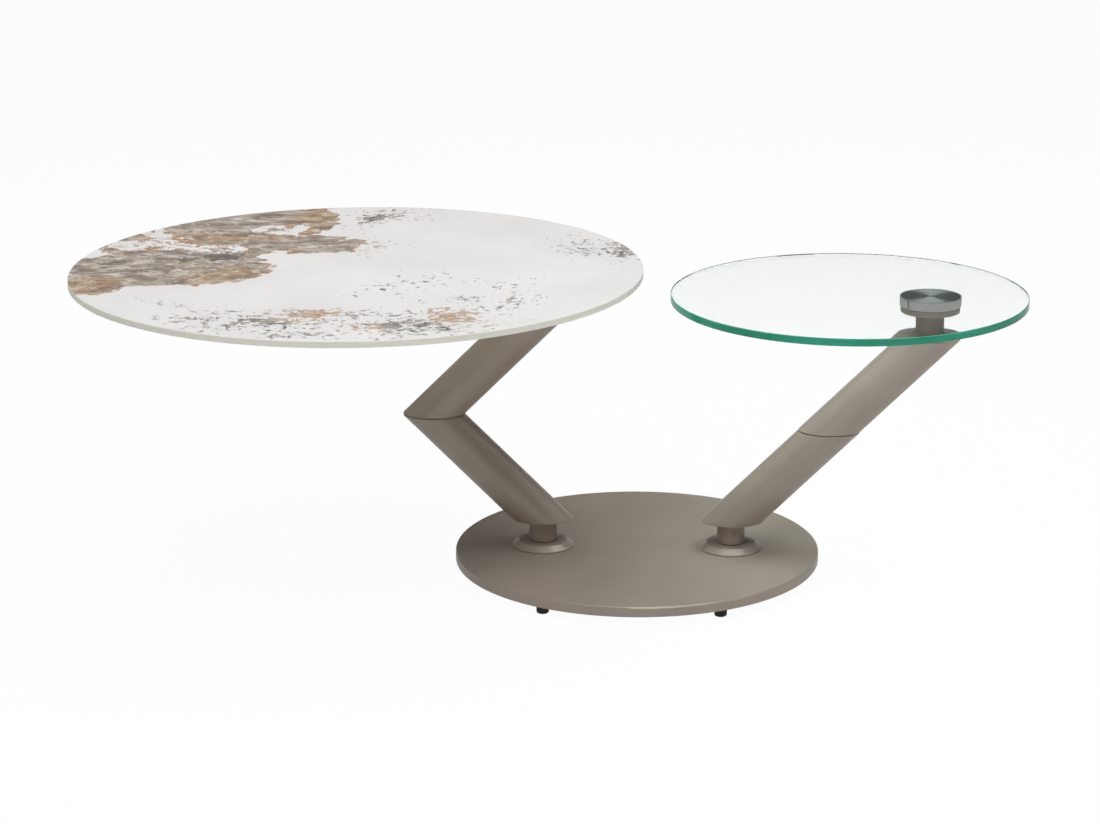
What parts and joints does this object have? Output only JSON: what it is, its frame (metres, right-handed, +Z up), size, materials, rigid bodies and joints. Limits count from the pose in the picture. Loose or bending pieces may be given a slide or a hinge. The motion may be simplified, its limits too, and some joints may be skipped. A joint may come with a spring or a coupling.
{
  "type": "swivel coffee table",
  "caption": "Low table with a round steel base, jointed slanted tube arms and off-centre round tops of pale stone and clear glass that swivel at different heights.",
  "frame": {"origin": "on the floor, under the centre of the round base", "axes": "+Z up; +X from the foot of the left arm, which carries the stone top, to the foot of the right arm, which carries the glass top; -Y is the side from which the stone top is at the left"},
  "size_m": [1.2927, 0.776, 0.4168],
  "materials": {
    "taupe_paint": "satin taupe powder coat with a fine metallic sheen",
    "stone": "honed pale stone with grey and rust markings",
    "glass": "clear toughened glass with polished green edges",
    "turned_steel": "face-turned steel with fine concentric marks",
    "bright_band": "satin stainless strip",
    "fastener_steel": "zinc plated",
    "bearing_bronze": "plain turned bearing bronze, dark with oil",
    "washer_plastic": "black bearing plastic",
    "foot_rubber": "matt black moulded rubber"
  },
  "bodies": {
    "base": {"base_plate": "taupe_paint", "foot_pads": "foot_rubber", "foot_screws": "fastener_steel", "collar_screws": "fastener_steel", "left_collar": "taupe_paint", "right_collar": "taupe_paint", "left_base_bush": "bearing_bronze", "right_base_bush": "bearing_bronze"},
    "left_lower_arm": {"left_base_neck": "taupe_paint", "left_base_pin": "fastener_steel", "left_base_nut": "fastener_steel", "left_lower_foot_plug": "taupe_paint", "left_lower_tube": "taupe_paint", "left_lower_head_plug": "taupe_paint", "left_mid_bush": "bearing_bronze", "left_mid_washer": "washer_plastic"},
    "left_upper_arm": {"left_mid_pin": "fastener_steel", "left_mid_nut": "fastener_steel", "left_upper_foot_plug": "taupe_paint", "left_upper_tube": "taupe_paint", "left_upper_head_plug": "taupe_paint", "left_top_neck": "taupe_paint", "left_top_bush": "bearing_bronze", "left_top_washer": "washer_plastic"},
    "left_top": {"left_top_pin": "fastener_steel", "left_top_nut": "fastener_steel", "left_mount_disc": "turned_steel", "left_mount_band": "bright_band", "stone_top": "stone"},
    "right_lower_arm": {"right_base_neck": "taupe_paint", "right_base_pin": "fastener_steel", "right_base_nut": "fastener_steel", "right_lower_foot_plug": "taupe_paint", "right_lower_tube": "taupe_paint", "right_lower_head_plug": "taupe_paint", "right_mid_bush": "bearing_bronze", "right_mid_washer": "washer_plastic"},
    "right_upper_arm": {"right_mid_pin": "fastener_steel", "right_mid_nut": "fastener_steel", "right_upper_foot_plug": "taupe_paint", "right_upper_tube": "taupe_paint", "right_upper_head_plug": "taupe_paint", "right_top_neck": "taupe_paint", "right_top_bush": "bearing_bronze", "right_top_washer": "washer_plastic"},
    "right_top": {"right_top_pin": "fastener_steel", "right_top_nut": "fastener_steel", "right_mount_disc": "turned_steel", "right_mount_band": "bright_band", "glass_top": "glass"}
  },
  "joints": [
    {"name": "left_base_swivel", "type": "hinge", "parent": "base", "child": "left_lower_arm", "pos_m": [-0.1295, 0, 0.0355], "axis": [0, 0, 1], "range_deg": [-90, 90]},
    {"name": "left_mid_swivel", "type": "hinge", "parent": "left_lower_arm", "child": "left_upper_arm", "pos_m": [-0.27904, 0, 0.213], "axis": [0, 0, 1], "range_deg": [-180, 180]},
    {"name": "stone_top_swivel", "type": "hinge", "parent": "left_upper_arm", "child": "left_top", "pos_m": [-0.1295, 0, 0.395], "axis": [0, 0, 1], "range_deg": [-180, 180]},
    {"name": "right_base_swivel", "type": "hinge", "parent": "base", "child": "right_lower_arm", "pos_m": [0.1295, 0, 0.0355], "axis": [0, 0, 1], "range_deg": [-90, 90]},
    {"name": "right_mid_swivel", "type": "hinge", "parent": "right_lower_arm", "child": "right_upper_arm", "pos_m": [0.26142, 0, 0.1955], "axis": [0, 0, 1], "range_deg": [-180, 180]},
    {"name": "glass_top_swivel", "type": "hinge", "parent": "right_upper_arm", "child": "right_top", "pos_m": [0.39334, 0, 0.3655], "axis": [0, 0, 1], "range_deg": [-180, 180]}
  ]
}
